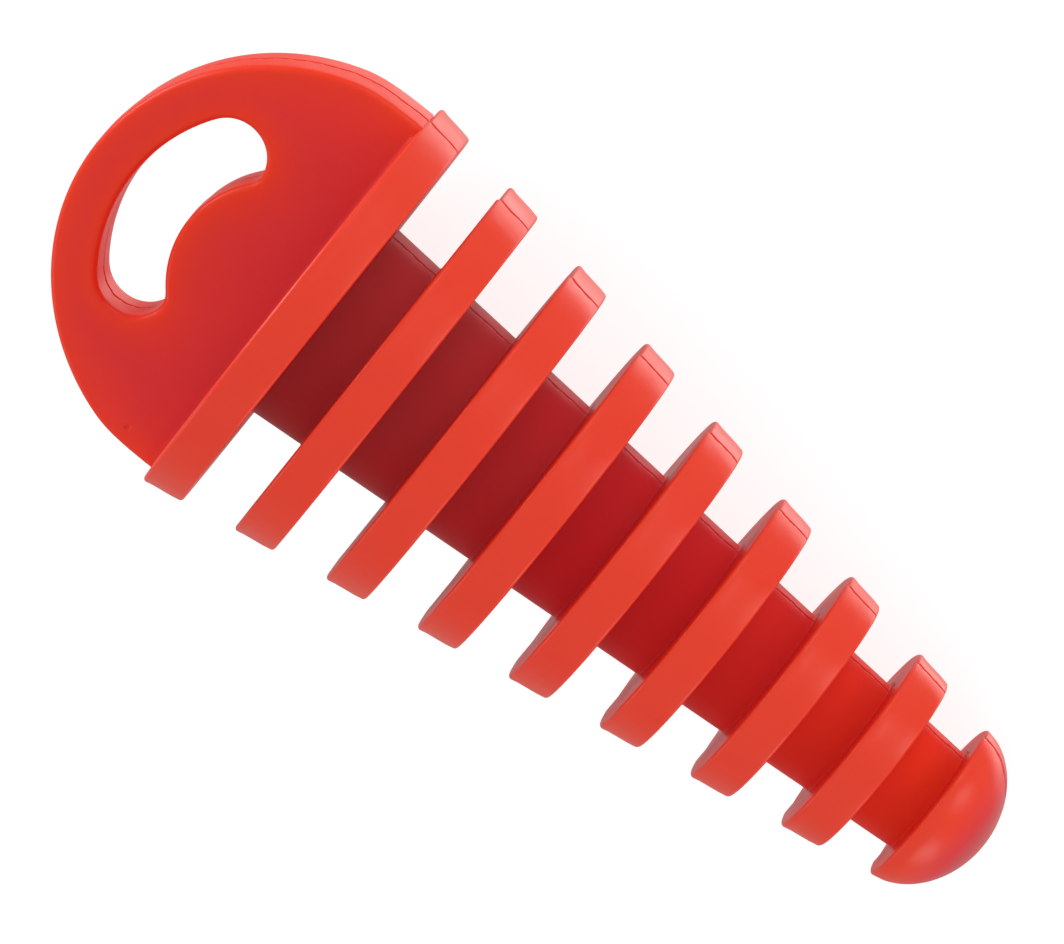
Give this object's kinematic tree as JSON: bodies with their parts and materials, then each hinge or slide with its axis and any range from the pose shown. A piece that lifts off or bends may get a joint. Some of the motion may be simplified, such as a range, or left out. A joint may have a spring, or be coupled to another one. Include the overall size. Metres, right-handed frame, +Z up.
{
  "type": "exhaust wash plug",
  "caption": "Tapered rubber bung with stepped sealing fins, a stop flange, a domed nose and a D-shaped pull handle, for sealing a motorcycle silencer during washing.",
  "frame": {"origin": "on the floor, under the middle of the bounding box, with the plug lying on its side on the rims of its fins", "axes": "+X towards the nose, +Y across the plug, +Z up; the spine runs 10.0 degrees nose-down from +X, because the rims taper, and the handle plate lies square to the XZ plane"},
  "size_m": [0.1462, 0.062, 0.061],
  "materials": {
    "moulded_rubber": "satin red moulded rubber, one colour throughout"
  },
  "bodies": {
    "handle": {"handle": "moulded_rubber"},
    "flange": {"flange": "moulded_rubber", "core_1": "moulded_rubber"},
    "fin_1": {"fin_1": "moulded_rubber", "core_2": "moulded_rubber"},
    "fin_2": {"fin_2": "moulded_rubber", "core_3": "moulded_rubber"},
    "fin_3": {"fin_3": "moulded_rubber", "core_4": "moulded_rubber"},
    "fin_4": {"fin_4": "moulded_rubber", "core_5": "moulded_rubber"},
    "fin_5": {"fin_5": "moulded_rubber", "core_6": "moulded_rubber"},
    "fin_6": {"fin_6": "moulded_rubber", "core_7": "moulded_rubber"},
    "fin_7": {"fin_7": "moulded_rubber", "core_8": "moulded_rubber"},
    "nose": {"nose": "moulded_rubber"}
  },
  "joints": [
    {"name": "handle_fold", "type": "hinge", "parent": "flange", "child": "handle", "pos_m": [-0.0453, 0, 0.03131], "axis": [0, 1, 0], "range_deg": [-30, 30], "stiffness_Nm_per_rad": 0.5},
    {"name": "neck_1_bend", "type": "hinge", "parent": "flange", "child": "fin_1", "pos_m": [-0.03179, 0, 0.02892], "axis": [0, 1, 0], "range_deg": [-6, 6], "stiffness_Nm_per_rad": 6.6},
    {"name": "neck_2_bend", "type": "hinge", "parent": "fin_1", "child": "fin_2", "pos_m": [-0.01867, 0, 0.02659], "axis": [0.1744, 0, 0.9847], "range_deg": [-6, 6], "stiffness_Nm_per_rad": 5},
    {"name": "neck_3_bend", "type": "hinge", "parent": "fin_2", "child": "fin_3", "pos_m": [-0.00554, 0, 0.02427], "axis": [0, 1, 0], "range_deg": [-6, 6], "stiffness_Nm_per_rad": 3.7},
    {"name": "neck_4_bend", "type": "hinge", "parent": "fin_3", "child": "fin_4", "pos_m": [0.00758, 0, 0.02194], "axis": [0.1744, 0, 0.9847], "range_deg": [-6, 6], "stiffness_Nm_per_rad": 2.7},
    {"name": "neck_5_bend", "type": "hinge", "parent": "fin_4", "child": "fin_5", "pos_m": [0.02071, 0, 0.01962], "axis": [0, 1, 0], "range_deg": [-6, 6], "stiffness_Nm_per_rad": 1.9},
    {"name": "neck_6_bend", "type": "hinge", "parent": "fin_5", "child": "fin_6", "pos_m": [0.03384, 0, 0.01729], "axis": [0.1744, 0, 0.9847], "range_deg": [-6, 6], "stiffness_Nm_per_rad": 1.3},
    {"name": "neck_7_bend", "type": "hinge", "parent": "fin_6", "child": "fin_7", "pos_m": [0.04696, 0, 0.01497], "axis": [0, 1, 0], "range_deg": [-6, 6], "stiffness_Nm_per_rad": 0.88},
    {"name": "neck_8_bend", "type": "hinge", "parent": "fin_7", "child": "nose", "pos_m": [0.05997, 0, 0.01266], "axis": [0.1744, 0, 0.9847], "range_deg": [-6, 6], "stiffness_Nm_per_rad": 0.57}
  ]
}
